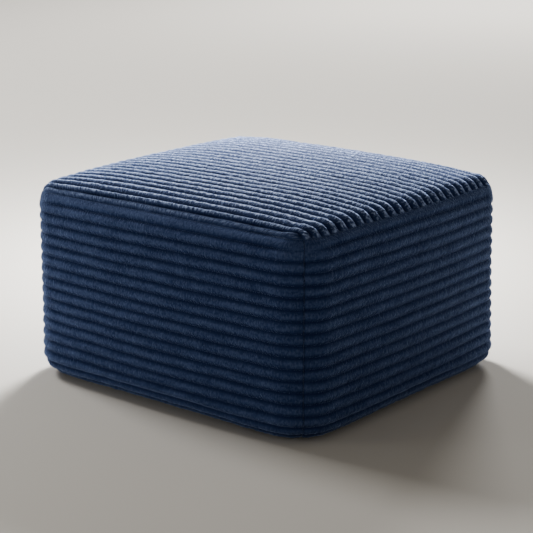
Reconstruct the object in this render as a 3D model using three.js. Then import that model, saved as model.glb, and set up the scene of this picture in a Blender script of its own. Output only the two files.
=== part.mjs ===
import * as THREE from 'three';

// Square upholstered ottoman covered in jumbo corduroy: a top panel, four side panels and a
// base panel, sewn to one another around a soft filling. Millimetres, +Z up. The origin is on
// the floor under the middle, and the front faces -Y.

// The body, measured over the crests of the corduroy
const WIDTH = 606;
const DEPTH = 560;
const EDGE_HEIGHT = 340;
const CROWN = 17;
const BELLY = 12;
const CORNER_RADIUS = 58;
const TOP_EDGE_RADIUS = 41;
const UNDER_RADIUS = 43;

// The crown is flat in the middle and falls away near the edges, by these powers of the share
// of the way from the middle, along the wales and across them
const CROWN_POWER_ALONG = 3.5;
const CROWN_POWER_ACROSS = 5;

// The corner radius shrinks by this share of how far an outline lies inside the wall
const CORNER_EASE = 0.5;

// The top seam lies on the rounded top edge, this far round from the wall
const SEAM_TURN = THREE.MathUtils.degToRad(43);

// Jumbo corduroy: ribs of pile, called wales, with a groove between each two
const WALE_RELIEF = 4;
const SIDE_PITCH = 18.9;
const TOP_WALES = 28;
const BASE_CLOTH = 2;

// Two pieces that are sewn together keep this hairline between their solids
const SEWN_GAP = 0.3;

// Facets: steps in a wale's height, half a corner, the straight of a side and the top's width
const WALE_STEPS = 3;
const CORNER_STEPS = 3;
const STRAIGHT_STEPS = 6;
const TOP_STEPS = 14;

const RIM_HEIGHT = BASE_CLOTH + SEWN_GAP;
const SHOULDER_HEIGHT = EDGE_HEIGHT - TOP_EDGE_RADIUS;
const UNDER_LENGTH = UNDER_RADIUS * Math.PI / 2;
const WALL_LENGTH = SHOULDER_HEIGHT - UNDER_RADIUS - RIM_HEIGHT;
const SIDE_LENGTH = UNDER_LENGTH + WALL_LENGTH + TOP_EDGE_RADIUS * SEAM_TURN;
const SEAM_INSET = TOP_EDGE_RADIUS * (1 - Math.cos(SEAM_TURN));
const SEAM_HEIGHT = SHOULDER_HEIGHT + (TOP_EDGE_RADIUS - WALE_RELIEF) * Math.sin(SEAM_TURN);

const navyCorduroy = () => new THREE.MeshStandardMaterial({
  color: '#25324f',
  roughness: 0.92,
  metalness: 0,
});

const blackBaseCloth = () => new THREE.MeshStandardMaterial({
  color: '#17181c',
  roughness: 0.95,
  metalness: 0,
});

// How deep the cloth lies below the crests at a count of wales; whole counts are grooves
function grooveDepth(wales) {
  const across = wales - Math.floor(wales);
  return WALE_RELIEF * (1 - Math.sqrt(Math.sin(Math.PI * across)));
}

// One point of a side's upright section, at a length of cloth from the base panel's seam. The
// section turns out from under the body, climbs the wall and turns in to the top seam.
function sectionAt(length) {
  if (length < UNDER_LENGTH) {
    const turn = length / UNDER_RADIUS;
    const inset = UNDER_RADIUS * (1 - Math.sin(turn));
    const height = RIM_HEIGHT + UNDER_RADIUS * (1 - Math.cos(turn));
    return { inset, height, normalOut: Math.sin(turn), normalUp: -Math.cos(turn) };
  }
  if (length < UNDER_LENGTH + WALL_LENGTH) {
    const height = RIM_HEIGHT + UNDER_RADIUS + length - UNDER_LENGTH;
    return { inset: 0, height, normalOut: 1, normalUp: 0 };
  }
  const turn = (length - UNDER_LENGTH - WALL_LENGTH) / TOP_EDGE_RADIUS;
  const inset = TOP_EDGE_RADIUS * (1 - Math.cos(turn));
  const height = SHOULDER_HEIGHT + TOP_EDGE_RADIUS * Math.sin(turn);
  return { inset, height, normalOut: Math.cos(turn), normalUp: Math.sin(turn) };
}

// The side's section with its wales, from the base seam to the top seam. The wales are counted
// down from the top seam, and the last is cut where the base panel begins.
function corduroySection() {
  const section = [{ inset: UNDER_RADIUS, height: RIM_HEIGHT }];
  for (let step = Math.floor(WALE_STEPS * SIDE_LENGTH / SIDE_PITCH); step >= 0; step -= 1) {
    const wales = step / WALE_STEPS;
    const cloth = sectionAt(SIDE_LENGTH - wales * SIDE_PITCH);
    const depth = grooveDepth(wales);
    section.push({
      inset: cloth.inset + depth * cloth.normalOut,
      height: cloth.height - depth * cloth.normalUp,
    });
  }
  return section;
}

// The outline of one side at a given inset, from mitre to mitre, as [along, out] points. Each
// end is the middle of a rounded corner, and the wall swells between them.
function sideOutline(halfLength, reach, inset) {
  const radius = CORNER_RADIUS - inset * CORNER_EASE;
  const straight = halfLength - inset - radius;
  const mitre = Math.PI / 4 - Math.asin(SEWN_GAP / 2 / radius);
  const end = straight + radius * Math.sin(mitre);
  const outline = [];
  const addPoint = (along, turn) => {
    const swell = BELLY * (1 - (along / end) ** 2);
    outline.push([along, reach - inset - radius * (1 - Math.cos(turn)) + swell]);
  };
  for (let step = CORNER_STEPS; step > 0; step -= 1) {
    const turn = mitre * step / CORNER_STEPS;
    addPoint(-straight - radius * Math.sin(turn), turn);
  }
  for (let step = 0; step <= STRAIGHT_STEPS; step += 1) {
    addPoint(straight * (2 * step / STRAIGHT_STEPS - 1), 0);
  }
  for (let step = 1; step <= CORNER_STEPS; step += 1) {
    const turn = mitre * step / CORNER_STEPS;
    addPoint(straight + radius * Math.sin(turn), turn);
  }
  return outline;
}

// Where a side's filling meets the other sides' in the middle: a short ridge behind the two
// long sides and a point behind the two short ones, as [along, out] points
function middleEdge(halfLength, reach) {
  const ridge = halfLength - reach;
  if (ridge > 0) {
    const halfRidge = ridge + SEWN_GAP / 2 - SEWN_GAP / Math.SQRT2;
    return [[halfRidge, SEWN_GAP / 2], [-halfRidge, SEWN_GAP / 2]];
  }
  return [[0, SEWN_GAP / Math.SQRT2 - ridge]];
}

// Closes a flat face: its corners run counter-clockwise as seen from outside, and flatten
// gives a corner's place in the plane of the face
function closeFace(triangles, corners, flatten) {
  const contour = corners.map((corner) => new THREE.Vector2(...flatten(corner)));
  for (const triangle of THREE.ShapeUtils.triangulateShape(contour, [])) {
    triangles.push(...triangle.map((index) => corners[index]));
  }
}

// Covers the space between two rows of points, which run side by side
function coverRows(triangles, lower, upper) {
  for (let column = 0; column < lower.length - 1; column += 1) {
    triangles.push(lower[column], lower[column + 1], upper[column + 1]);
    triangles.push(lower[column], upper[column + 1], upper[column]);
  }
}

function solidOf(triangles) {
  const positions = triangles.flatMap((point) => [point.x, point.y, point.z]);
  const geometry = new THREE.BufferGeometry();
  geometry.setAttribute('position', new THREE.Float32BufferAttribute(positions, 3));
  geometry.computeVertexNormals();
  return geometry;
}

// One side panel with the filling behind it, facing -Y and mitred to its neighbours
function sidePanel(halfLength, reach) {
  const place = (along, out, height) => new THREE.Vector3(along, -out, height);
  const rows = corduroySection().map(({ inset, height }) => (
    sideOutline(halfLength, reach, inset).map(([along, out]) => place(along, out, height))
  ));
  const lowest = rows[0];
  const highest = rows.at(-1);
  const middle = middleEdge(halfLength, reach);
  const lowMiddle = middle.map(([along, out]) => place(along, out, lowest[0].z));
  const highMiddle = middle.map(([along, out]) => place(along, out, highest[0].z));
  const leftEdge = rows.map((row) => row[0]);
  const rightEdge = rows.map((row) => row.at(-1));

  const triangles = [];
  for (let row = 1; row < rows.length; row += 1) {
    coverRows(triangles, rows[row - 1], rows[row]);
  }
  const seenFromBelow = (point) => [point.x, -point.y];
  const seenFromAbove = (point) => [point.x, point.y];
  const seenFromLeft = (point) => [-point.y, point.z];
  const seenFromRight = (point) => [point.y, point.z];
  closeFace(triangles, [...lowest, ...lowMiddle].reverse(), seenFromBelow);
  closeFace(triangles, [...highest, ...highMiddle], seenFromAbove);
  closeFace(triangles, [lowMiddle.at(-1), ...leftEdge, highMiddle.at(-1)], seenFromLeft);
  closeFace(triangles, [highMiddle[0], ...rightEdge.toReversed(), lowMiddle[0]], seenFromRight);
  if (middle.length > 1) {
    triangles.push(lowMiddle[0], lowMiddle[1], highMiddle[1]);
    triangles.push(lowMiddle[0], highMiddle[1], highMiddle[0]);
  }
  return solidOf(triangles);
}

// How far inside the wall a point of the top lies. Outlines inside the wall are rounded
// rectangles whose corner centres draw in as they shrink.
function insetAt(x, y) {
  const pastX = Math.abs(x) - WIDTH / 2 + CORNER_RADIUS;
  const pastY = Math.abs(y) - DEPTH / 2 + CORNER_RADIUS;
  const toWall = CORNER_RADIUS - Math.max(pastX, pastY);
  const turnIn = CORNER_EASE * toWall;
  if (pastX + turnIn <= 0 || pastY + turnIn <= 0) {
    return toWall;
  }
  const sum = pastX + pastY + CORNER_RADIUS;
  const square = pastX ** 2 + pastY ** 2 - CORNER_RADIUS ** 2;
  return (Math.sqrt(sum ** 2 - square) - sum) / CORNER_EASE;
}

function topHeight(x, y) {
  const inside = Math.max(0, TOP_EDGE_RADIUS - insetAt(x, y));
  const edge = Math.sqrt(Math.max(0, TOP_EDGE_RADIUS ** 2 - inside ** 2));
  const fallAlong = Math.abs(2 * x / WIDTH) ** CROWN_POWER_ALONG;
  const fallAcross = Math.abs(2 * y / DEPTH) ** CROWN_POWER_ACROSS;
  return SHOULDER_HEIGHT + edge + CROWN * (1 - fallAlong) * (1 - fallAcross);
}

// The walls' swelling carries the top outwards with it
function swollen(x, y) {
  const cornerPoint = CORNER_RADIUS * (1 - Math.SQRT1_2);
  const alongX = Math.min(1, (x / (WIDTH / 2 - cornerPoint)) ** 2);
  const alongY = Math.min(1, (y / (DEPTH / 2 - cornerPoint)) ** 2);
  return [x * (1 + BELLY * (1 - alongY) / (WIDTH / 2)), y * (1 + BELLY * (1 - alongX) / (DEPTH / 2))];
}

// The top's surface at a depth below the crests, square to the cloth
function topPoint(x, y, depth) {
  const reach = 0.5;
  const slopeX = (topHeight(x + reach, y) - topHeight(x - reach, y)) / (2 * reach);
  const slopeY = (topHeight(x, y + reach) - topHeight(x, y - reach)) / (2 * reach);
  const normal = new THREE.Vector3(-slopeX, -slopeY, 1).normalize();
  const [placeX, placeY] = swollen(x, y);
  return new THREE.Vector3(placeX, placeY, topHeight(x, y)).addScaledVector(normal, -depth);
}

// Distance across the top, front to back, at a length of cloth from the front seam
function acrossTop(length) {
  const edgeTurn = Math.PI / 2 - SEAM_TURN;
  const edgeLength = TOP_EDGE_RADIUS * edgeTurn;
  const flatLength = DEPTH - 2 * TOP_EDGE_RADIUS;
  const halfLength = edgeLength + flatLength / 2;
  const fromMiddle = Math.abs(length - halfLength);
  const past = Math.max(0, fromMiddle - flatLength / 2);
  const edge = TOP_EDGE_RADIUS * Math.sin(past / TOP_EDGE_RADIUS);
  return Math.sign(length - halfLength) * (Math.min(fromMiddle, flatLength / 2) + edge);
}

// Half the width of the top at a distance from its middle, out to the seam
function halfWidthAt(y) {
  const radius = CORNER_RADIUS - SEAM_INSET * CORNER_EASE;
  const straight = WIDTH / 2 - SEAM_INSET - radius;
  const pastCentre = Math.abs(y) - (DEPTH / 2 - SEAM_INSET - radius);
  const corner = Math.sqrt(Math.max(0, radius ** 2 - Math.max(0, pastCentre) ** 2));
  return straight + corner;
}

// The top panel with the filling under its crown. Its wales run from left to right, and the
// rounded corners cut the front and back ones short.
function topPanel() {
  const clothLength = DEPTH - 2 * TOP_EDGE_RADIUS + 2 * TOP_EDGE_RADIUS * (Math.PI / 2 - SEAM_TURN);
  const lastRow = TOP_WALES * WALE_STEPS;
  const rows = [];
  for (let row = 0; row <= lastRow; row += 1) {
    const wales = row / WALE_STEPS;
    const y = acrossTop(clothLength * wales / TOP_WALES);
    const halfWidth = halfWidthAt(y);
    const points = [];
    for (let column = 0; column <= TOP_STEPS; column += 1) {
      const x = halfWidth * Math.sin(Math.PI * (column / TOP_STEPS - 0.5));
      const atSeam = row === 0 || row === lastRow || column === 0 || column === TOP_STEPS;
      const point = topPoint(x, y, atSeam ? WALE_RELIEF : grooveDepth(wales));
      if (atSeam) {
        point.z = SEAM_HEIGHT + SEWN_GAP;
      }
      points.push(point);
    }
    rows.push(points);
  }
  const triangles = [];
  for (let row = 1; row < rows.length; row += 1) {
    coverRows(triangles, rows[row - 1], rows[row]);
  }
  const rightEdge = rows.slice(1, -1).map((row) => row.at(-1));
  const leftEdge = rows.slice(1, -1).map((row) => row[0]);
  const rim = [...rows[0], ...rightEdge, ...rows.at(-1).toReversed(), ...leftEdge.toReversed()];
  closeFace(triangles, rim.reverse(), (point) => [point.x, -point.y]);
  return solidOf(triangles);
}

// The flat base panel inside the turned-under side panels
function basePanel() {
  const shape = new THREE.Shape();
  const sides = [
    { halfLength: WIDTH / 2, reach: DEPTH / 2 },
    { halfLength: DEPTH / 2, reach: WIDTH / 2 },
    { halfLength: WIDTH / 2, reach: DEPTH / 2 },
    { halfLength: DEPTH / 2, reach: WIDTH / 2 },
  ];
  sides.forEach(({ halfLength, reach }, quarter) => {
    const middle = new THREE.Vector2(0, 0);
    for (const [along, out] of sideOutline(halfLength, reach, UNDER_RADIUS)) {
      const corner = new THREE.Vector2(along, -out).rotateAround(middle, quarter * Math.PI / 2);
      if (quarter === 0 && shape.curves.length === 0 && shape.currentPoint.lengthSq() === 0) {
        shape.moveTo(corner.x, corner.y);
      } else {
        shape.lineTo(corner.x, corner.y);
      }
    }
  });
  shape.closePath();
  return new THREE.ExtrudeGeometry(shape, { depth: BASE_CLOTH, bevelEnabled: false });
}

function addPiece(group, name, geometry, material, quarterTurns = 0) {
  const piece = new THREE.Mesh(geometry, material);
  piece.name = name;
  piece.rotation.z = quarterTurns * Math.PI / 2;
  group.add(piece);
}

const ottoman = new THREE.Group();
addPiece(ottoman, 'top_panel', topPanel(), navyCorduroy());
addPiece(ottoman, 'front_panel', sidePanel(WIDTH / 2, DEPTH / 2), navyCorduroy());
addPiece(ottoman, 'right_panel', sidePanel(DEPTH / 2, WIDTH / 2), navyCorduroy(), 1);
addPiece(ottoman, 'back_panel', sidePanel(WIDTH / 2, DEPTH / 2), navyCorduroy(), 2);
addPiece(ottoman, 'left_panel', sidePanel(DEPTH / 2, WIDTH / 2), navyCorduroy(), 3);
addPiece(ottoman, 'base_panel', basePanel(), blackBaseCloth());

export default ottoman;
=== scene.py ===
# %% [markdown]
# # A corduroy ottoman
# The real object is a block of soft filling inside a sewn cover of navy jumbo corduroy: a top
# panel, four side panels and a plain base. One sculpted lump would look soft too, but a cover
# shows how it is sewn, by its seams and by the way the ribs meet at them. So this lesson makes
# one sewn piece at a time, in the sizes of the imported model, and lays them over that frame.

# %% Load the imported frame
import math

import bpy
import numpy as np
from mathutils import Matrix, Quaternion, Vector


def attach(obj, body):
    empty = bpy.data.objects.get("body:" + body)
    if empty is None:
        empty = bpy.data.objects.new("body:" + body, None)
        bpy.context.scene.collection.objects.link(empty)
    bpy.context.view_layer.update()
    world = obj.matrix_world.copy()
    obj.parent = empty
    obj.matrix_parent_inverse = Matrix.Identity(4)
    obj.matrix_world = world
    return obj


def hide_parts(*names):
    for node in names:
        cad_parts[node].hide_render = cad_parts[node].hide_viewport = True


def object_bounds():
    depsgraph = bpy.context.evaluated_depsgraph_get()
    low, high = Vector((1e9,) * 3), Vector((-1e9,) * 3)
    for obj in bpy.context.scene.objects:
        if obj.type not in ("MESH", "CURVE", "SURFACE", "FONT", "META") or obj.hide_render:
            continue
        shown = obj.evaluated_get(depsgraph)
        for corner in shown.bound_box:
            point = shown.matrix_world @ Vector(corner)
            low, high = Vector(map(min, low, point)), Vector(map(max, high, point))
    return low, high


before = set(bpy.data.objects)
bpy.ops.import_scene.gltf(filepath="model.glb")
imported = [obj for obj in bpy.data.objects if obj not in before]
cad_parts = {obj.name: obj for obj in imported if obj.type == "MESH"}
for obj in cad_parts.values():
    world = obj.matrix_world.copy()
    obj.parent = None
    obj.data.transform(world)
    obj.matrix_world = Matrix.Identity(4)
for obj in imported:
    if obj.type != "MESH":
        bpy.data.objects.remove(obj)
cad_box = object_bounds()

MM = 0.001
cad_size = cad_box[1] - cad_box[0]
print("CAD box in mm:", [round(side / MM, 1) for side in cad_size])

# %% [markdown]
# ## Camera
# A camera can be placed by eye, or worked out from the picture that is being matched. Here the
# angles, the distance and the lens come from the outline of the ottoman in the photograph, whose
# sides are known from the frame. A long lens far away keeps the upright edges nearly parallel.
# The picture leans by a tenth of a degree, so the camera leans with it.

# %% Camera
CAMERA_AZIMUTH = 39.34  # degrees, from the front towards the right
CAMERA_ELEVATION = 15.15  # degrees above level
CAMERA_ROLL = -0.11  # degrees
CAMERA_DISTANCE = 2.765  # metres
CAMERA_LENS = 107.9  # millimetres
CAMERA_TARGET = Vector((-0.0011, -0.0013, 0.1821))


def from_angles(azimuth, elevation):
    """The direction from the object towards an azimuth and an elevation in degrees."""
    turn = math.radians(azimuth)
    rise = math.radians(elevation)
    return Vector((
        math.sin(turn) * math.cos(rise),
        -math.cos(turn) * math.cos(rise),
        math.sin(rise),
    ))


towards_camera = from_angles(CAMERA_AZIMUTH, CAMERA_ELEVATION)
camera_data = bpy.data.cameras.new("studio_camera")
camera_data.lens = CAMERA_LENS
camera = bpy.data.objects.new("studio_camera", camera_data)
camera.location = CAMERA_TARGET + towards_camera * CAMERA_DISTANCE
camera.rotation_mode = "QUATERNION"
level = (-towards_camera).to_track_quat("-Z", "Y")
camera.rotation_quaternion = level @ Quaternion((0, 0, 1), math.radians(CAMERA_ROLL))
bpy.context.collection.objects.link(camera)
bpy.context.scene.camera = camera
print("camera at", [round(place, 3) for place in camera.location])

# %% [markdown]
# ## Sizes of the cover
# The frame gives the outer box. The other sizes are those of the sewn cover: how far each wall
# swells, how round the edges are and where the top seam lies. They were matched to the
# photograph. They could be typed in wherever a panel needs them, but then the panels would drift
# apart. They are written once, in millimetres, so that every panel is cut from the same numbers
# and the seams meet.

# %% Sizes of the cover
BELLY = 12 * MM  # how far the middle of a wall swells out
CROWN = 17 * MM  # how far the middle of the top stands above its rounded edge
CORNER_RADIUS = 58 * MM  # an upright corner
SEAM_RADIUS = 38 * MM  # the same corner up at the top seam
TOP_EDGE_RADIUS = 41 * MM  # where a wall turns into the top
UNDER_RADIUS = 43 * MM  # where a wall turns under to the base
CORNER_EASE = 0.5  # how much a corner's radius shrinks for each mm that the cloth turns in
SEAM_TURN = math.radians(43)  # how far round the top edge the seam lies
SEWN_GAP = 0.3 * MM  # between two panels that are sewn together
BASE_CLOTH = 2 * MM  # how thick the base is

HALF_WIDTH = cad_size.x / 2 - BELLY
HALF_DEPTH = cad_size.y / 2 - BELLY
SHOULDER_HEIGHT = cad_size.z - CROWN - TOP_EDGE_RADIUS
RIM_HEIGHT = BASE_CLOTH + SEWN_GAP
UNDER_LENGTH = UNDER_RADIUS * math.pi / 2
WALL_LENGTH = SHOULDER_HEIGHT - UNDER_RADIUS - RIM_HEIGHT
SIDE_LENGTH = UNDER_LENGTH + WALL_LENGTH + TOP_EDGE_RADIUS * SEAM_TURN
SEAM_INSET = TOP_EDGE_RADIUS * (1 - math.cos(SEAM_TURN))
TOP_EDGE_LENGTH = TOP_EDGE_RADIUS * (math.pi / 2 - SEAM_TURN)
print("cloth up a side:", round(SIDE_LENGTH / MM), "mm")
print("walls before they swell:", round(2 * HALF_WIDTH / MM), "by", round(2 * HALF_DEPTH / MM), "mm")

# %% [markdown]
# ## Uneven cloth
# Nothing that is sewn and filled with soft stuffing is exact. The ribs wander a little, some
# stand higher than others, and the walls have faint lumps. This could be sculpted by hand, but
# not twice alike. Random numbers on a coarse grid, blended smoothly between its points, give
# that unevenness in any size, and the same seed gives the same ottoman each time.

# %% Uneven cloth
LATTICE = 257  # points each way, more than any panel needs, so that no patch comes twice


def eased(share):
    """A share from 0 to 1 that starts and ends gently."""
    return share ** 2 * (3 - 2 * share)


def blended(first, second, share):
    """A value that is a share of the way from a first one to a second one."""
    return first * (1 - share) + second * share


def uneven(along, across, patch_along, patch_across, seed):
    """Smooth random values from -1 to 1, in patches of the given size along and across."""
    lattice = np.random.default_rng(seed).uniform(-1, 1, (LATTICE, LATTICE))
    place_along, place_across = np.broadcast_arrays(along / patch_along, across / patch_across)
    first_along = np.floor(place_along).astype(int)
    first_across = np.floor(place_across).astype(int)
    share_along = eased(place_along - first_along)
    share_across = eased(place_across - first_across)
    near_along = first_along % LATTICE
    far_along = (first_along + 1) % LATTICE
    near_across = first_across % LATTICE
    far_across = (first_across + 1) % LATTICE
    near = blended(lattice[near_along, near_across], lattice[far_along, near_across], share_along)
    far = blended(lattice[near_along, far_across], lattice[far_along, far_across], share_along)
    return blended(near, far, share_across)


print("unevenness is blended between", LATTICE, "by", LATTICE, "random values")

# %% [markdown]
# ## Jumbo corduroy
# Corduroy is woven with loops that are cut and brushed up into ribs, called wales. Between two
# wales there is only thin ground cloth, so the groove is narrow and lies in shade, and the wale is
# broad and round. A bump map could fake this, but the outline of the ottoman shows the ribs too, so
# here they are real: each mesh row lies at a known place across a wale, and the rows crowd
# together in the grooves where the surface turns sharply.

# %% A wale from groove to groove
SIDE_RELIEF = 3.7 * MM  # from a crest down into a groove
TOP_RELIEF = 5.8 * MM
WALE_ROUNDNESS = 0.9  # less makes a wale boxier
GROOVE_SOFTNESS = 0.3  # more makes a groove rounder
ROWS_PER_WALE = 10


def wale_rows(grooves):
    """Mesh rows as lengths of cloth, with the count of wales passed at each."""
    share = (1 - np.cos(np.pi * np.arange(ROWS_PER_WALE) / ROWS_PER_WALE)) / 2
    widths = np.diff(grooves)
    lengths = (grooves[:-1, None] + widths[:, None] * share).ravel()
    counts = (np.arange(len(widths))[:, None] + share).ravel()
    return np.append(lengths, grooves[-1]), np.append(counts, len(widths))


def wale_depth(counts):
    """How far the cloth lies below the crests: 0 on a crest and 1 in a groove."""
    across = counts - np.floor(counts)
    height = np.hypot(np.sin(np.pi * across), GROOVE_SOFTNESS) - GROOVE_SOFTNESS
    return 1 - (height / (math.hypot(1, GROOVE_SOFTNESS) - GROOVE_SOFTNESS)) ** WALE_ROUNDNESS


print("depth a quarter of the way across a wale:", round(float(wale_depth(0.25)), 2))

# %% Uneven crests and tufts
# Each patch is a size along the wales and a size across them. Real tufts are about 2 mm apart.
# The mesh is too coarse for that, so its tufts are drawn a little more than twice as large.
GROOVE_UNEVEN = 0.15  # as a share of the relief
GROOVE_PATCH = (30 * MM, 12 * MM)
CREST_UNEVEN = 0.4 * MM  # up and down
CREST_PATCH = (16 * MM, 40 * MM)
TUFT_UNEVEN = 0.55 * MM
TUFT_PATCH = (4.5 * MM, 5 * MM)
TUFT_FADE = 3  # more lets the tufts reach further down into the grooves


def ribs(counts, along, lengths, relief, seed):
    """Depth of the ribbed cloth below its highest crests, with uneven crests and tufts of pile."""
    wale = wale_depth(counts)
    groove = relief * wale * (1 + GROOVE_UNEVEN * uneven(along, lengths, *GROOVE_PATCH, seed))
    crest = CREST_UNEVEN * uneven(along, lengths, *CREST_PATCH, seed + 1)
    tufts = TUFT_UNEVEN * uneven(along, lengths, *TUFT_PATCH, seed + 2)
    return groove + (1 - wale) * crest + (1 - wale ** TUFT_FADE) * tufts


print("crests and tufts differ by", round(2 * (CREST_UNEVEN + TUFT_UNEVEN) / MM, 1), "mm at most")

# %% Where the wales lie
# A side has one pitch, apart from the wale that the top seam cuts. On the top, the three wales
# nearest to the front seam and the three nearest to the back seam have widths of their own.
SIDE_PITCH = 18.9 * MM
FIRST_SIDE_WALE = 17.5 * MM
TOP_EDGE_WALES = (12 * MM, 13 * MM, 19 * MM)
TOP_MIDDLE_WALES = 22

side_grooves = np.append(0, np.arange(FIRST_SIDE_WALE, SIDE_LENGTH, SIDE_PITCH))
top_length = 2 * (HALF_DEPTH - TOP_EDGE_RADIUS + TOP_EDGE_LENGTH)
edge_grooves = np.append(0, np.cumsum(TOP_EDGE_WALES))
middle_grooves = np.linspace(edge_grooves[-1], top_length - edge_grooves[-1], TOP_MIDDLE_WALES + 1)
top_grooves = np.concatenate([edge_grooves[:-1], middle_grooves, top_length - edge_grooves[:-1][::-1]])
print("wales: up a side", len(side_grooves), "and over the top", len(top_grooves) - 1)

# %% [markdown]
# ## The shape of the filled body
# A filled cover is never a box. The filling pushes each wall out in the middle, while the corner
# seams hold it back, and the top corners sink because little filling reaches them. This ottoman
# has also settled: its front left corner has sunk most, the back edge of the top stands up
# towards the left, and the feet of the back right and front left corners lean out a little.
# A cloth simulation could blow such a cover up, but it is hard to steer towards one real
# ottoman. Here formulas say where the plain cloth would lie, with no ribs on it. All panels
# share them, so two panels that are sewn together follow the same line.

# %% A side from the base seam to the top seam
def side_section(cloth, fullness):
    """Inset and height of a side at a length of cloth from the base seam.

    Where the side is fuller, it turns under in a tighter arc, with straight cloth on both ends.
    """
    radius = UNDER_RADIUS - fullness
    below = np.clip(cloth / UNDER_LENGTH, 0, 1) * (UNDER_LENGTH + fullness * (2 - math.pi / 2))
    lying = np.clip(below, 0, fullness)
    under = np.clip((below - fullness) / radius, 0, math.pi / 2)
    upright = np.clip(below - fullness - radius * math.pi / 2, 0, None)
    wall = upright + np.clip(cloth - UNDER_LENGTH, 0, WALL_LENGTH)
    over = np.clip(cloth - UNDER_LENGTH - WALL_LENGTH, 0, None) / TOP_EDGE_RADIUS
    inset = UNDER_RADIUS - lying - radius * np.sin(under) + TOP_EDGE_RADIUS * (1 - np.cos(over))
    height = RIM_HEIGHT + radius * (1 - np.cos(under)) + wall + TOP_EDGE_RADIUS * np.sin(over)
    return inset, height


seam_place = side_section(SIDE_LENGTH, 0)
print("the top seam lies", [round(float(place) / MM, 1) for place in seam_place], "mm in and up")

# %% Where the filling holds the cloth
LUMP_HEIGHT = 0.8 * MM
LUMP_SIZE = 130 * MM
LUMP_SEEDS = (11, 12, 13)
NEAR_TOP_POWER = 4  # more keeps the changes near the top closer to it
CORNER_DROOP = 1.5 * MM  # how far every top corner sinks
FRONT_LEFT_DROOP = 3 * MM  # how much more the front left one sinks
BACK_RIGHT_LEAN = 6 * MM  # how far the foot of a corner leans out
FRONT_LEFT_LEAN = 2 * MM
RAISED_EDGE = 3.4 * MM  # how far the back edge of the top stands up
RAISED_PLACE = -190 * MM  # left of the middle
RAISED_REACH = 90 * MM


def bell(distance, reach):
    """1 at no distance, and almost nothing from twice the reach on."""
    return np.exp(-(distance / reach) ** 2)


def filled(x, y, z):
    """Moves plain cloth to where the filling holds it."""
    corner = CORNER_RADIUS * (1 - math.sqrt(0.5))
    share_x = np.clip((x / (HALF_WIDTH - corner)) ** 2, 0, 1)
    share_y = np.clip((y / (HALF_DEPTH - corner)) ** 2, 0, 1)
    height = np.clip(z / SHOULDER_HEIGHT, 0, 1)
    near_top = height ** NEAR_TOP_POWER
    lumps = LUMP_HEIGHT * np.sin(math.pi * height)
    push_x = BELLY * (1 - share_y) + lumps * uneven(y, z, LUMP_SIZE, LUMP_SIZE, LUMP_SEEDS[0])
    push_y = BELLY * (1 - share_x) + lumps * uneven(x, z, LUMP_SIZE, LUMP_SIZE, LUMP_SEEDS[1])
    rise = LUMP_HEIGHT * height * uneven(x, y, LUMP_SIZE, LUMP_SIZE, LUMP_SEEDS[2])
    rise = rise + RAISED_EDGE * share_y * near_top * (y > 0) * bell(x - RAISED_PLACE, RAISED_REACH)
    droop = CORNER_DROOP + FRONT_LEFT_DROOP * (x < 0) * (y < 0)
    droop = droop * share_x * share_y * near_top
    lean = BACK_RIGHT_LEAN * (x > 0) * (y > 0) - FRONT_LEFT_LEAN * (x < 0) * (y < 0)
    lean = lean * share_x * share_y * (1 - height) ** 2
    points = [
        x + push_x * x / HALF_WIDTH + lean,
        y + push_y * y / HALF_DEPTH + lean,
        z + (rise - droop) * height,
    ]
    return np.stack(points, axis=-1)


print("walls swell by", round(BELLY / MM), "mm, and lumps are", round(LUMP_HEIGHT / MM, 1), "mm high")

# %% [markdown]
# ## From plain cloth to a padded panel
# A sewn piece is a pad of cloth and filling, and its edge is folded in and stitched. A Solidify
# modifier could give a grid of points some thickness, but not a folded edge. So each pad is
# built from its grid: the points are pushed in along their own normals, most in the grooves and
# at the seams, and then the edge is turned in and closed behind. Each point also keeps its place
# on the cloth, along and across the wales, because the pile in the finish has to follow it.

# %% Normals, rolled edges and places on the cloth
def normals_of(points):
    """Outward normals of a grid of points."""
    along = np.gradient(points, axis=1)
    across = np.gradient(points, axis=0)
    normal = np.cross(along, across)
    return normal / np.linalg.norm(normal, axis=-1, keepdims=True)


def rolled_in(distance, reach):
    """1 at a seam and 0 past the reach, round like an edge that is rolled into the seam."""
    share = np.clip(1 - distance / reach, 0, 1)
    return 1 - np.sqrt(1 - share ** 2)


def place_on_cloth(along, lengths, counts):
    """How far along the wales each point lies, how far across them, and in which wale."""
    return np.stack(np.broadcast_arrays(along, lengths, np.floor(counts)), axis=-1)


print("halfway to a seam, an edge is rolled in by", round(float(rolled_in(0.5, 1)), 2))

# %% Padded panel
SEAM_ALLOWANCE = 8 * MM  # how far the edge of a panel is turned in
DEEPEST_SHARE = 1.5  # the most that a point may lie below the crests, in reliefs


def pad_faces(index, rim):
    """Faces of a pad: its grid of cloth, two strips that run in from the edge, and the back."""
    cloth = np.stack([index[:-1, :-1], index[:-1, 1:], index[1:, 1:], index[1:, :-1]], axis=-1)
    faces = cloth.reshape(-1, 4).tolist()
    loops = [rim]
    for loop in range(2):
        loops.append(index.size + loop * len(rim) + np.arange(len(rim)))
    for outer, inner in zip(loops, loops[1:]):
        strip = np.stack([outer, inner, np.roll(inner, -1), np.roll(outer, -1)], axis=-1)
        faces += strip.tolist()
    faces.append(loops[-1][::-1].tolist())
    return faces


def keep_on_points(mesh, name, values, rim):
    """Keeps values of the cloth on the points of a pad, and again on the two loops behind it."""
    kept = np.concatenate([values, values[rim], values[rim]])
    kind, field = ("FLOAT_VECTOR", "vector") if kept.ndim == 2 else ("FLOAT", "value")
    mesh.attributes.new(name, kind, "POINT").data.foreach_set(field, kept.ravel())


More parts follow.
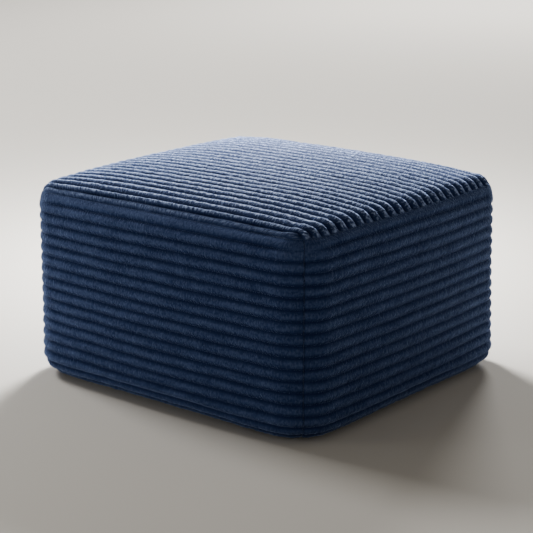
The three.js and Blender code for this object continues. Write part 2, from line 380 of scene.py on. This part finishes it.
def padded_panel(name, plain, depth, relief, place, highlight_share, back):
    """A closed pad: cloth pushed in by a depth, its edge turned in, and a back from that edge."""
    rows, columns = depth.shape
    index = np.arange(rows * columns).reshape(rows, columns)
    rim = np.concatenate([index[0, :-1], index[:-1, -1], index[-1, :0:-1], index[:0:-1, 0]])
    normal = normals_of(plain)
    skin = (plain - normal * depth[..., None]).reshape(-1, 3)
    edge = skin[rim]
    allowance = edge - normal.reshape(-1, 3)[rim] * SEAM_ALLOWANCE
    faces = pad_faces(index, rim)
    mesh = bpy.data.meshes.new(name)
    mesh.from_pydata(np.concatenate([skin, allowance, back(edge)]).tolist(), [], faces)

    cloth_faces = (rows - 1) * (columns - 1)
    mesh.polygons.foreach_set("use_smooth", np.arange(len(faces)) < cloth_faces)
    keep_on_points(mesh, "cloth_place", place.reshape(-1, 3), rim)
    keep_on_points(mesh, "groove_share", np.clip(depth / relief, 0, DEEPEST_SHARE).ravel(), rim)
    # How much painted highlight the finish puts on the crests of this panel.
    keep_on_points(mesh, "painted_highlight_share", np.broadcast_to(highlight_share, depth.shape).ravel(), rim)
    mesh.update()
    panel = bpy.data.objects.new(name, mesh)
    bpy.context.collection.objects.link(panel)
    print(name, len(mesh.vertices), "points,", 2 * cloth_faces, "triangles of cloth")
    return panel


# %% [markdown]
# ## Side panels
# The four sides are cut alike, with the wales running round the ottoman. Each is mitred at the
# corner seams, turned under at the bottom and rolled in at the top seam, where the corners are
# sharper. The corner seams are tight and pull the cloth in only a little, so the wales seem to
# run straight across them. The top seam cuts the highest wale, which lies nearly flat, with fine
# ripples along the seam. Low down, beside the corners, the sides are fullest.
# One panel could be copied and turned three times, but then all four would be uneven in the same
# places. So one function makes each of them from a seed of its own.

# %% Rows and columns of a side
SIDE_COLUMNS = 341
SIDE_END_PACKING = 0.3  # 0 is even, and more crowds the columns at the corners


def packed(count, packing):
    """Shares from -1 to 1 that crowd together at both ends."""
    share = np.linspace(-1, 1, count)
    return share * (1 + packing) - packing * share ** 3


def side_rows():
    """Mesh rows from the base up, as lengths of cloth below the top seam and wales passed."""
    lengths, counts = wale_rows(side_grooves)
    lengths = np.append(lengths, np.linspace(lengths[-1], SIDE_LENGTH, ROWS_PER_WALE)[1:])
    last_wale = (lengths[len(counts):] - side_grooves[-1]) / SIDE_PITCH
    counts = np.append(counts, len(side_grooves) - 1 + last_wale)
    return lengths[::-1, None], counts[::-1, None]


print("a side has", len(side_rows()[0]), "rows and", SIDE_COLUMNS, "columns")

# %% The plain cloth of a side
CORNER_LENGTH = CORNER_RADIUS * math.pi / 4  # from the end of the straight wall to the corner seam


def turned(x, y, angle):
    """A place that is turned about the middle of the ottoman."""
    turned_x = x * math.cos(angle) - y * math.sin(angle)
    turned_y = x * math.sin(angle) + y * math.cos(angle)
    return turned_x, turned_y


def side_cloth(along, cloth, fullness, half_length, reach, angle):
    """Where the plain cloth of a side lies, mitred at both corner seams."""
    inset, height = side_section(cloth, fullness)
    ease_at_seam = (CORNER_RADIUS - SEAM_RADIUS) / SEAM_INSET
    ease = np.where(height > SHOULDER_HEIGHT, ease_at_seam, CORNER_EASE)
    radius = CORNER_RADIUS - inset * ease
    straight = half_length - inset - radius
    past_straight = np.clip(np.abs(along) - half_length + CORNER_RADIUS, 0, None) / CORNER_LENGTH
    mitre = math.pi / 4 - np.arcsin(SEWN_GAP / 2 / radius)
    turn = past_straight * mitre
    in_straight = np.clip(np.abs(along) / (half_length - CORNER_RADIUS), 0, 1)
    local_x = np.sign(along) * (in_straight * straight + radius * np.sin(turn))
    local_y = -(reach - inset - radius * (1 - np.cos(turn)))
    x, y = turned(local_x, local_y, angle)
    return filled(x, y, height)


print("a corner takes", round(2 * CORNER_LENGTH / MM), "mm of cloth")

# %% Ribs and seams of a side
SEAM_DEPTH = 0.5 * MM  # how far the top seam pulls the cloth in
SEAM_ROLL = 2 * MM  # how far from that seam the cloth starts to roll in
CORNER_SEAM_DEPTH = 1.3 * MM
CORNER_SEAM_ROLL = 4.5 * MM
RIM_ROLL = 12 * MM  # from the base seam to where the ribs are whole
FIRST_CREST = 0.5  # in wales below the top seam
SECOND_CREST = 1.5
CUT_WALE_SHARE = 0.25  # what is left of the ribs above the first crest
LEAST_GROOVE = 0.1  # what is left of the first groove at a corner
PRESSED_FLAT = 60 * MM  # from a corner to where that groove is whole again
CORNER_FLATTENING = 0.12  # what every rib loses at a corner
FLATTENED_REACH = 25 * MM
RIPPLE_LENGTH = 160 * MM  # along the top seam
RIPPLE_SPACING = 2.5 * MM  # from one down to the next
RIPPLE_HEIGHT = 0.5 * MM
RIPPLE_SEED = 5


def side_depth(counts, along, from_seam, from_corner, seed):
    """How far a side is pushed in: by its ribs, by the ripples at the top and by the seams."""
    seam_roll = rolled_in(from_seam, SEAM_ROLL)
    corner_roll = rolled_in(from_corner, CORNER_SEAM_ROLL)
    rim_roll = rolled_in(SIDE_LENGTH - from_seam, RIM_ROLL)
    first_groove = np.clip(from_corner / PRESSED_FLAT, LEAST_GROOVE, 1)
    share = np.where(counts < SECOND_CREST, first_groove, 1)
    share = np.where(counts < FIRST_CREST, CUT_WALE_SHARE, share)
    share = share * (1 - CORNER_FLATTENING * bell(from_corner, FLATTENED_REACH))
    ribbed = ribs(counts, along, from_seam, SIDE_RELIEF, seed + 1) * share
    ripples = uneven(along, from_seam, RIPPLE_LENGTH, RIPPLE_SPACING, seed + RIPPLE_SEED)
    ribbed = ribbed + RIPPLE_HEIGHT * ripples * np.clip(1 - from_seam / FIRST_SIDE_WALE, 0, 1)
    depth = ribbed * (1 - seam_roll) * (1 - rim_roll) + SEAM_DEPTH * seam_roll
    return depth + CORNER_SEAM_DEPTH * corner_roll * (1 - seam_roll)


print("above its crest, the cut wale keeps", CUT_WALE_SHARE, "of its relief")

# %% Side panels
LOW_FULLNESS = 8 * MM
FULLEST_PLACE = 70 * MM  # from a corner
FULLEST_REACH = 95 * MM
WANDER = 0.7 * MM  # how far the wales stray
WANDER_PATCH = (70 * MM, 30 * MM)
WANDER_FADE = 4  # how far below the top seam they are free to stray, in seam rolls
BACK_DEPTH = 60 * MM  # from a wall to the back of its pad
BACK_CLEAR = 10 * MM  # keeps the backs of the pads apart
SIDE_PAINTED_HIGHLIGHT = 0.07  # a side gets only a faint painted highlight, see the finish of the pile


def side_panel(name, half_length, reach, quarter, seed):
    """One side, turned by quarters from the front, with a flat back inside the filling."""
    from_seam, counts = side_rows()
    half_round = half_length - CORNER_RADIUS + CORNER_LENGTH
    along = packed(SIDE_COLUMNS, SIDE_END_PACKING)[None, :] * half_round
    from_corner = half_round - np.abs(along)
    angle = quarter * math.pi / 2

    free_at_top = np.clip(from_seam / SEAM_ROLL / WANDER_FADE, 0, 1)
    free_at_rim = np.clip((SIDE_LENGTH - from_seam) / RIM_ROLL, 0, 1)
    wander = WANDER * (free_at_top * free_at_rim) * uneven(along, from_seam, *WANDER_PATCH, seed)
    cloth = SIDE_LENGTH - from_seam - wander
    fullness = LOW_FULLNESS * bell(from_corner - FULLEST_PLACE, FULLEST_REACH)
    plain = side_cloth(along, cloth, fullness, half_length, reach, angle)
    depth = side_depth(counts, along, from_seam, from_corner, seed)

    def back(edge):
        """The edge moved in to an upright plane behind the wall."""
        limit = half_length - BACK_DEPTH - BACK_CLEAR
        local_x = np.clip(turned(edge[:, 0], edge[:, 1], -angle)[0], -limit, limit)
        x, y = turned(local_x, -(reach - BACK_DEPTH), angle)
        height = np.clip(edge[:, 2], 2 * BACK_CLEAR, SHOULDER_HEIGHT - BACK_CLEAR)
        return np.column_stack([x, y, height])

    # The seed also moves the place along, so that no two sides share a pattern in their finish.
    place = place_on_cloth(along + seed, from_seam, counts)
    return padded_panel(name, plain, depth, SIDE_RELIEF, place, SIDE_PAINTED_HIGHLIGHT, back)


side_panels = {
    "front_panel": side_panel("corduroy_front", HALF_WIDTH, HALF_DEPTH, quarter=0, seed=21),
    "right_panel": side_panel("corduroy_right", HALF_DEPTH, HALF_WIDTH, quarter=1, seed=31),
    "back_panel": side_panel("corduroy_back", HALF_WIDTH, HALF_DEPTH, quarter=2, seed=41),
    "left_panel": side_panel("corduroy_left", HALF_DEPTH, HALF_WIDTH, quarter=3, seed=51),
}

# %% [markdown]
# ## Top panel
# The wales of the top run from left to right. At the front and back the seam lies in a groove,
# and the wales beside it are squeezed. At the left and right the seam cuts across the wales, so
# each one ends in a small rounded tip with a dark pocket beside it. The tips at the right are
# full, most of all at the front, and those at the left are pressed down. The crown rises only
# past the seam, because a top that is lifted at its edge would leave a dark gap over the sides.
# A subdivided box could be smoothed into such a cushion, but its rows would not follow the
# wales. So the top is a grid with its rows in the wales, lifted by a formula.

# %% The edge of the top
def inset_at(x, y):
    """How far inside the walls a point of the top lies."""
    past_x = np.abs(x) - HALF_WIDTH + SEAM_INSET + SEAM_RADIUS
    past_y = np.abs(y) - HALF_DEPTH + SEAM_INSET + SEAM_RADIUS
    round_part = np.hypot(np.clip(past_x, 0, None), np.clip(past_y, 0, None))
    straight_part = np.clip(np.maximum(past_x, past_y), None, 0)
    return SEAM_INSET + SEAM_RADIUS - round_part - straight_part


def across_top(length):
    """Distance from the middle of the top at a length of cloth from the front seam."""
    from_middle = length - top_length / 2
    flat = HALF_DEPTH - TOP_EDGE_RADIUS
    on_flat = np.clip(np.abs(from_middle), 0, flat)
    past = np.clip(np.abs(from_middle) - flat, 0, TOP_EDGE_LENGTH)
    return np.sign(from_middle) * (on_flat + TOP_EDGE_RADIUS * np.sin(past / TOP_EDGE_RADIUS))


def seam_half_width(y):
    """Half the width of the top, out to the seam, at a distance from its middle."""
    past = np.clip(np.abs(y) - HALF_DEPTH + SEAM_INSET + SEAM_RADIUS, 0, SEAM_RADIUS)
    return HALF_WIDTH - SEAM_INSET - SEAM_RADIUS + np.sqrt(SEAM_RADIUS ** 2 - past ** 2)


print("the top is", round(2 * float(seam_half_width(0)) / MM), "mm wide from seam to seam")

# %% The height of the top
CROWN_POWER_ALONG = 3.6  # more keeps the crown flat for longer
CROWN_POWER_ACROSS = 5
CROWN_RISE = 4 * MM  # how soon the crown starts past the seam
LEFT_TIP_FULLNESS = -0.5 * MM  # the tips at the left lie a little low
RIGHT_TIP_FULLNESS = 5 * MM  # at the front, fading to nothing at the back
CORNER_FULLNESS = 6 * MM
CORNER_POWER = 4  # more keeps that fullness closer to the corners
TIP_RISE = 3 * MM  # how soon the tips start past the seam
BACK_TIP_RISE = 10 * MM  # how much later they start at the back of the right end
TIP_REACH = 36 * MM
TIP_POWER = 1.3  # more keeps the tips shorter


def crown_height(x, y, inset):
    """Height of the plain top: its round edge, the crown, and the tips of the wales."""
    inside = np.clip(TOP_EDGE_RADIUS - inset, 0, TOP_EDGE_RADIUS)
    edge = np.sqrt(TOP_EDGE_RADIUS ** 2 - inside ** 2)
    past_seam = np.clip(inset - SEAM_INSET, 0, None)
    fall_along = np.clip(np.abs(x) / HALF_WIDTH, 0, 1) ** CROWN_POWER_ALONG
    fall_across = np.clip(np.abs(y) / HALF_DEPTH, 0, 1) ** CROWN_POWER_ACROSS
    crown = CROWN * (1 - fall_along) * (1 - fall_across) * (1 - np.exp(-past_seam / CROWN_RISE))

    to_back = np.clip(y / HALF_DEPTH, -1, 1) / 2 + 0.5
    rise = TIP_RISE + BACK_TIP_RISE * to_back * (x > 0)
    fullness = np.where(x > 0, RIGHT_TIP_FULLNESS * (1 - to_back), LEFT_TIP_FULLNESS)
    fullness = fullness + CORNER_FULLNESS * np.clip(np.abs(y) / HALF_DEPTH, 0, 1) ** CORNER_POWER
    from_end = np.clip(seam_half_width(y) - np.abs(x), 0, TIP_REACH)
    tips = fullness * (1 - np.exp(-past_seam / rise)) * (1 - from_end / TIP_REACH) ** TIP_POWER
    return SHOULDER_HEIGHT + edge + crown + tips


middle_height = float(crown_height(0, 0, HALF_DEPTH))
print("the middle of the top is", round(middle_height / MM, 1), "mm high")

# %% Top panel
TOP_COLUMNS = 341
TOP_END_PACKING = 0.32
EDGE_FADE = 25 * MM  # from the front and back seams to where the wales are free to stray
END_FADE_POWER = 8  # more lets them stray closer to their ends
WALE_END_ROLL = 6 * MM  # from the seam to where the ribs are whole
LEFT_TIPS_PRESSED = 0.55  # what the ribs lose at the left ends
PRESSED_REACH = 25 * MM
TOP_PAINTED_HIGHLIGHT = 1.0  # the full painted highlight on the crests
HIGHLIGHT_EDGE_FADE = 12 * MM  # the wales beside the front and back seams get less painted highlight
BACK_SHARE = 0.93  # the back of the pad is a little smaller than the top
TOP_BACK_CLEAR = 2 * MM  # from the turned-in edge down to that back


def top_panel(name, seed):
    """The top, wale by wale from the front seam to the back seam."""
    lengths, counts = wale_rows(top_grooves)
    lengths = lengths[:, None]
    counts = counts[:, None]
    from_edge = np.minimum(lengths, top_length - lengths)
    shares = packed(TOP_COLUMNS, TOP_END_PACKING)[None, :]
    along = shares * HALF_WIDTH
    freedom = np.clip(from_edge / EDGE_FADE, 0, 1)
    wander = WANDER * freedom * uneven(along, lengths, *WANDER_PATCH, seed)
    y = across_top(lengths)
    x = shares * seam_half_width(y)
    y = y + wander * (1 - np.abs(shares) ** END_FADE_POWER)
    inset = np.clip(inset_at(x, y), SEAM_INSET, None)
    on_edge = np.arccos(np.clip(1 - inset / TOP_EDGE_RADIUS, 0, 1)) - SEAM_TURN
    from_seam = TOP_EDGE_RADIUS * on_edge + np.clip(inset - TOP_EDGE_RADIUS, 0, None)
    plain = filled(x, y, crown_height(x, y, inset))
    plain[..., 2] += SEWN_GAP * rolled_in(from_seam, SEAM_ROLL)

    end_roll = rolled_in(from_seam, WALE_END_ROLL)
    from_end = seam_half_width(y) - np.abs(x)
    unpressed = 1 - LEFT_TIPS_PRESSED * (x < 0) * bell(from_end, PRESSED_REACH)
    ribbed = ribs(counts, along, lengths, TOP_RELIEF, seed + 1) * unpressed
    depth = ribbed * (1 - end_roll) + SEAM_DEPTH * end_roll
    # The crests of the top get a painted highlight, which fades out at the seams.
    highlight_share = TOP_PAINTED_HIGHLIGHT * (1 - end_roll) * np.clip(from_edge / HIGHLIGHT_EDGE_FADE, 0, 1)

    def back(edge):
        """The edge moved down to a level plane under the top."""
        flat = edge * BACK_SHARE
        flat[:, 2] = edge[:, 2].min() - SEAM_ALLOWANCE - TOP_BACK_CLEAR
        return flat

    place = place_on_cloth(along, lengths, counts)
    return padded_panel(name, plain, depth, TOP_RELIEF, place, highlight_share, back)


top = top_panel("corduroy_top", seed=61)

# %% [markdown]
# ## Base cloth
# Underneath, an upholsterer closes the cover with a flat panel of thin black cloth, pulled tight
# and sewn to the turned-under sides. It is the face that the ottoman rests on. It could be cut
# out of a plane with a modifier, but it has to end where the sides end, so its outline is
# worked out with the same sizes and moved by the same filling.

# %% The outline of the base
CORNER_STEPS = 12
EDGE_STEPS = 12


def base_outline():
    """The rounded outline of the base, counter-clockwise from the front left corner."""
    radius = CORNER_RADIUS - UNDER_RADIUS * CORNER_EASE
    half_x = HALF_WIDTH - UNDER_RADIUS - radius
    half_y = HALF_DEPTH - UNDER_RADIUS - radius
    centres = [(-half_x, -half_y), (half_x, -half_y), (half_x, half_y), (-half_x, half_y)]
    outline = []
    for quarter, (centre_x, centre_y) in enumerate(centres):
        for step in range(CORNER_STEPS + 1):
            angle = math.pi + (quarter + step / CORNER_STEPS) * math.pi / 2
            outline.append((centre_x + radius * math.cos(angle), centre_y + radius * math.sin(angle)))
        next_x, next_y = centres[(quarter + 1) % 4]
        edge_angle = math.pi + (quarter + 1) * math.pi / 2
        for step in range(1, EDGE_STEPS):
            share = step / EDGE_STEPS
            outline.append((
                centre_x + (next_x - centre_x) * share + radius * math.cos(edge_angle),
                centre_y + (next_y - centre_y) * share + radius * math.sin(edge_angle),
            ))
    return np.array(outline)


outline = base_outline()
swollen = filled(outline[:, 0], outline[:, 1], np.zeros(len(outline)))[:, :2]

# %% Base cloth
count = len(swollen)
low = np.column_stack([swollen, np.zeros(count)])
high = np.column_stack([swollen, np.full(count, BASE_CLOTH)])
ring = np.arange(count)
walls = np.stack([ring, np.roll(ring, -1), np.roll(ring, -1) + count, ring + count], axis=-1)
base_mesh = bpy.data.meshes.new("base_cloth_sheet")
base_faces = walls.tolist() + [ring[::-1].tolist(), (ring + count).tolist()]
base_mesh.from_pydata(np.concatenate([low, high]).tolist(), [], base_faces)
base_mesh.update()
base = bpy.data.objects.new("base_cloth_sheet", base_mesh)
bpy.context.collection.objects.link(base)
print(base.name, len(base_mesh.vertices), "points")

# %% [markdown]
# ## Finishes
# The real cover has two finishes, the corduroy and the black cloth under it. A finish is a small
# graph of nodes. It could be painted as a picture, but then it would blur close up and stretch
# over the folds. One function adds a node with its settings and its links, so each material
# below reads as a list of what it is made of.

# %% Helpers for finishes
def linear(hex_colour):
    """An sRGB hex colour as the linear colour that the shader wants, by the sRGB formula."""
    channels = [int(hex_colour[place:place + 2], 16) / 255 for place in (1, 3, 5)]
    lit = [c / 12.92 if c <= 0.04045 else ((c + 0.055) / 1.055) ** 2.4 for c in channels]
    return (*lit, 1)


def add_node(material, kind, inputs=(), **settings):
    """Adds a node; inputs maps a socket to a value or to another node's output."""
    node = material.node_tree.nodes.new(kind)
    for setting, value in settings.items():
        setattr(node, setting, value)
    for socket, value in dict(inputs).items():
        if isinstance(value, bpy.types.NodeSocket):
            material.node_tree.links.new(value, node.inputs[socket])
        else:
            node.inputs[socket].default_value = value
    return node


def new_material(name):
    """A material with no nodes in it yet."""
    material = bpy.data.materials.new(name)
    material.use_nodes = True
    material.node_tree.nodes.clear()
    return material


print("middle grey #808080 in linear light:", round(linear("#808080")[0], 3))

# %% Patterns in cloth
# The Mix node has several sockets of each name, so its colour sockets are asked for by number.
MIX_A = 6
MIX_B = 7
MIX_RESULT = 2


def cloth_pattern(material, place, size_along, size_across, detail):
    """A random pattern in patches of a real size along and across, different in each wale."""
    scale = (1 / size_along, 1 / size_across, 1)
    scaled = add_node(material, "ShaderNodeMapping", {"Vector": place, "Scale": scale})
    sockets = {"Vector": scaled.outputs["Vector"], "Scale": 1.0, "Detail": detail}
    return add_node(material, "ShaderNodeTexNoise", sockets).outputs["Fac"]


print("the Mix node takes its colours at sockets", MIX_A, "and", MIX_B)

# %% [markdown]
# ## Brushed navy corduroy
# Cotton corduroy is dull, because light goes into the pile and comes out scattered. What gives
# it its look is the sheen: seen along the surface, the fibre tips catch the light and turn pale.
# The pile stands in rows of tufts across each wale, and is brushed into lighter and darker
# patches a few centimetres long. The top is paler than the sides because of a painted highlight:
# ragged pale streaks along its crests, where light from behind would catch the pile. One flat
# navy with sheen would be quicker, but it would look like felt, so tufts, patches, painted groove
# shade and painted crest highlights each get a part in the colour.

# %% Colours and sizes of the pile
# The tufts are really about 2 mm apart and the fibres much finer than a tenth of a millimetre.
# Both are too fine to show in the picture, so they are drawn coarser, at 2.8 mm and 0.7 mm.
PILE_NAVY = "#1d3058"
PILE_LIGHT = "#384a72"
# A painted shade: the darker navy deep in the grooves.
GROOVE_SHADE_NAVY = "#0d2046"
# A painted highlight along the crests, pale where light would catch the pile.
PAINTED_CREST_HIGHLIGHT = "#98aad2"
SHEEN_BLUE = "#a2bbee"
TUFT_SPACING = 2.8 * MM
TUFT_STRETCH = 1.8  # across the wale
TUFT_HEIGHT = 2.2 * MM
PATCH_LENGTH = 48 * MM
PATCH_SLENDERNESS = 5
FIBRE_SIZE = 0.7 * MM
FIBRE_HEIGHT = 0.4 * MM
TUFTS_BESIDE_PATCHES = 0.5  # how much the tufts count where the pile is brushed light
LIGHT_STARTS = 0.55  # of the two patterns together
FULLY_LIGHT = 1.0
DARKEST_GROOVE_SHADE = 0.9  # the share of the relief from which on the painted groove shade is darkest
RAGGEDNESS = 2.4  # how much the tufts break up the painted crest highlight
HIGHLIGHT_STARTS = -0.85
FULLEST_HIGHLIGHT = -1.6
print("brushed patches", round(PATCH_LENGTH / MM), "mm long")
print("tufts drawn", round(TUFT_SPACING / MM, 1), "mm apart")

# %% The colour of the pile
def pile_colour(material, tufts, patches, groove):
    """Navy pile that is lighter where it is brushed up, with painted shade down in the grooves."""
    brushed = add_node(
        material, "ShaderNodeMath",
        {0: tufts, 1: TUFTS_BESIDE_PATCHES, 2: patches},
        operation="MULTIPLY_ADD",
    ).outputs["Value"]
    light_range = {"Value": brushed, "From Min": LIGHT_STARTS, "From Max": FULLY_LIGHT}
    light_share = add_node(material, "ShaderNodeMapRange", light_range).outputs["Result"]
    pile_mix = {0: light_share, MIX_A: linear(PILE_NAVY), MIX_B: linear(PILE_LIGHT)}
    pile = add_node(material, "ShaderNodeMix", pile_mix, data_type="RGBA").outputs[MIX_RESULT]
    # The darker navy deep in the grooves is painted shade.
    groove_shade_range = {"Value": groove, "From Min": 0.0, "From Max": DARKEST_GROOVE_SHADE}
    groove_shade_node = add_node(material, "ShaderNodeMapRange", groove_shade_range, interpolation_type="SMOOTHSTEP")
    groove_shade_mix = {0: groove_shade_node.outputs["Result"], MIX_A: pile, MIX_B: linear(GROOVE_SHADE_NAVY)}
    return add_node(material, "ShaderNodeMix", groove_shade_mix, data_type="RGBA").outputs[MIX_RESULT]


def painted_crest_highlights(material, colour, tufts, groove, highlight_share):
    """The same colour, with a painted highlight in ragged pale streaks along the crests."""
    ragged = add_node(
        material, "ShaderNodeMath",
        {0: tufts, 1: -RAGGEDNESS, 2: groove},
        operation="MULTIPLY_ADD",
    ).outputs["Value"]
    streaks = {"Value": ragged, "From Min": HIGHLIGHT_STARTS, "From Max": FULLEST_HIGHLIGHT, "To Max": highlight_share}
    streak_node = add_node(material, "ShaderNodeMapRange", streaks, interpolation_type="SMOOTHSTEP")
    highlight_mix = {0: streak_node.outputs["Result"], MIX_A: colour, MIX_B: linear(PAINTED_CREST_HIGHLIGHT)}
    return add_node(material, "ShaderNodeMix", highlight_mix, data_type="RGBA").outputs[MIX_RESULT]


print("navy of the pile in linear light:", [round(part, 3) for part in linear(PILE_NAVY)[:3]])

# %% Brushed navy corduroy
def brushed_corduroy():
    """Cotton pile: dull, with a strong blue sheen and two sizes of bumps, tufts and fibres."""
    # Cotton has an IOR of about 1.5. The pile hides nearly all of its gloss, so that is set low.
    material = new_material("brushed_navy_cotton_corduroy")
    place = add_node(material, "ShaderNodeAttribute", attribute_name="cloth_place").outputs["Vector"]
    groove = add_node(material, "ShaderNodeAttribute", attribute_name="groove_share").outputs["Fac"]
    highlight_share = add_node(material, "ShaderNodeAttribute", attribute_name="painted_highlight_share").outputs["Fac"]
    tufts = cloth_pattern(material, place, TUFT_SPACING, TUFT_STRETCH * TUFT_SPACING, detail=2)
    patches = cloth_pattern(material, place, PATCH_LENGTH, PATCH_LENGTH / PATCH_SLENDERNESS, detail=3)
    fibres = cloth_pattern(material, place, FIBRE_SIZE, FIBRE_SIZE, detail=2)
    pile = pile_colour(material, tufts, patches, groove)
    # A painted highlight along the crests, over the painted shade in the grooves.
    colour = painted_crest_highlights(material, pile, tufts, groove, highlight_share)
    tuft_bump = add_node(
        material, "ShaderNodeBump",
        {"Height": tufts, "Strength": 0.9, "Distance": TUFT_HEIGHT},
    ).outputs["Normal"]
    fibre_bump = add_node(
        material, "ShaderNodeBump",
        {"Height": fibres, "Strength": 0.5, "Distance": FIBRE_HEIGHT, "Normal": tuft_bump},
    ).outputs["Normal"]
    shader = add_node(material, "ShaderNodeBsdfPrincipled", {
        "Base Color": colour,
        "Roughness": 0.9,
        "IOR": 1.5,
        "Specular IOR Level": 0.15,
        "Sheen Weight": 1.0,
        "Sheen Roughness": 0.3,
        "Sheen Tint": linear(SHEEN_BLUE),
        "Normal": fibre_bump,
    })
    add_node(material, "ShaderNodeOutputMaterial", {"Surface": shader.outputs["BSDF"]})
    return material


corduroy = brushed_corduroy()
print(corduroy.name, "with", len(corduroy.node_tree.nodes), "nodes")

# %% [markdown]
# ## Black base cloth
# The base is a polypropylene cloth whose fibres are pressed together and not woven. It has no
# thread lines, only a faint felted mottle, and it is dull and nearly black. A plain black would
# nearly do, but the mottle keeps it from looking like a hole when it is lit.

# %% Black base cloth
BASE_BLACK = "#17181c"
BASE_MOTTLE = "#24262c"
MOTTLE_SIZE = 3 * MM
MOTTLE_HEIGHT = 0.3 * MM


def pressed_base_cloth():
    """Pressed polypropylene: nearly black, dull, with a faint mottle."""
    material = new_material("pressed_black_polypropylene_cloth")
    place = add_node(material, "ShaderNodeTexCoord").outputs["Object"]
    mottle = cloth_pattern(material, place, MOTTLE_SIZE, MOTTLE_SIZE, detail=4)
    mix = {0: mottle, MIX_A: linear(BASE_BLACK), MIX_B: linear(BASE_MOTTLE)}
    colour = add_node(material, "ShaderNodeMix", mix, data_type="RGBA").outputs[MIX_RESULT]
    relief = {"Height": mottle, "Strength": 0.4, "Distance": MOTTLE_HEIGHT}
    bump = add_node(material, "ShaderNodeBump", relief).outputs["Normal"]
    shader = add_node(material, "ShaderNodeBsdfPrincipled", {
        "Base Color": colour,
        "Roughness": 0.85,
        "IOR": 1.49,
        "Normal": bump,
    })
    add_node(material, "ShaderNodeOutputMaterial", {"Surface": shader.outputs["BSDF"]})
    return material


base_finish = pressed_base_cloth()
base.data.materials.append(base_finish)
print(base_finish.name, "with", len(base_finish.node_tree.nodes), "nodes")

# %% [markdown]
# ## Putting each piece in the frame
# The frame can't know which mesh is which part of the real cover. So every piece is hung on the
# one body with its finish, and the node of the imported model that it stands for is hidden. The
# five corduroy panels are padded, and the base is a stretched sheet.


def joins_frame(piece, node):
    """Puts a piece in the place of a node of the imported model."""
    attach(piece, "root")
    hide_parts(node)
    print(piece.name, "stands for", node)


for node, panel in {"top_panel": top, **side_panels}.items():
    panel.data.materials.append(corduroy)
    joins_frame(panel, node)

joins_frame(base, "base_panel")

# %% [markdown]
# ## Floor and light
# A plain pale floor shows the shape without taking attention. In the photograph the light comes
# from behind the ottoman and from its left, so the top shines and the two faces towards the
# camera are soft and dark. One broad lamp could stand for it, but its glare would lie in one
# place. So three round lamps share the light behind and to the left, and two weak ones keep the
# front and the right side readable. A round lamp is a ball of light: the larger it is, the
# softer are its shadows.

# %% Floor
# Matt paint scatters light evenly, so the floor shows soft shadows and no reflection.
FLOOR_SIZE = 30  # metres, so that its edge lies outside the picture
FLOOR_GREY = "#cfcac1"


def pale_floor():
    """A wide floor in matt pale paint."""
    half = FLOOR_SIZE / 2
    mesh = bpy.data.meshes.new("studio_floor")
    corners = [(-half, -half, 0), (half, -half, 0), (half, half, 0), (-half, half, 0)]
    mesh.from_pydata(corners, [], [(0, 1, 2, 3)])
    floor = bpy.data.objects.new("studio_floor", mesh)
    bpy.context.collection.objects.link(floor)
    material = new_material("matt_pale_paint")
    shader = add_node(material, "ShaderNodeBsdfPrincipled", {
        "Base Color": linear(FLOOR_GREY),
        "Roughness": 0.9,
    })
    add_node(material, "ShaderNodeOutputMaterial", {"Surface": shader.outputs["BSDF"]})
    mesh.materials.append(material)
    print(floor.name, FLOOR_SIZE, "m wide")


pale_floor()

# %% Lamps
# Azimuths go round from the front over the right to the back, in degrees.
LAMP_CENTRE = Vector((0, 0, 0.2))


def soft_lamp(name, azimuth, elevation, distance, radius, power):
    """A round white lamp at an azimuth and an elevation from the ottoman, in metres and watts."""
    data = bpy.data.lights.new(name, "POINT")
    data.shadow_soft_size = radius
    data.energy = power
    lamp = bpy.data.objects.new(name, data)
    lamp.location = LAMP_CENTRE + from_angles(azimuth, elevation) * distance
    bpy.context.collection.objects.link(lamp)
    print(name, "with", power, "W at", distance, "m")


soft_lamp("main_lamp", azimuth=223, elevation=37, distance=0.95, radius=0.15, power=160)
soft_lamp("high_lamp", azimuth=270, elevation=38, distance=5, radius=0.8, power=760)
soft_lamp("low_lamp", azimuth=205, elevation=24, distance=7, radius=1.0, power=1300)
soft_lamp("front_lamp", azimuth=-35, elevation=3, distance=2, radius=0.3, power=24)
soft_lamp("side_lamp", azimuth=95, elevation=8, distance=2, radius=0.3, power=6)

# %% Soft light from all sides
SURROUNDING_WHITE = "#e9e2d8"
SURROUNDING_STRENGTH = 0.24

world = bpy.data.worlds.new("soft_surroundings")
bpy.context.scene.world = world
world.use_nodes = True
surroundings = world.node_tree.nodes["Background"]
surroundings.inputs["Color"].default_value = linear(SURROUNDING_WHITE)
surroundings.inputs["Strength"].default_value = SURROUNDING_STRENGTH
print("the surroundings shine at a strength of", SURROUNDING_STRENGTH)
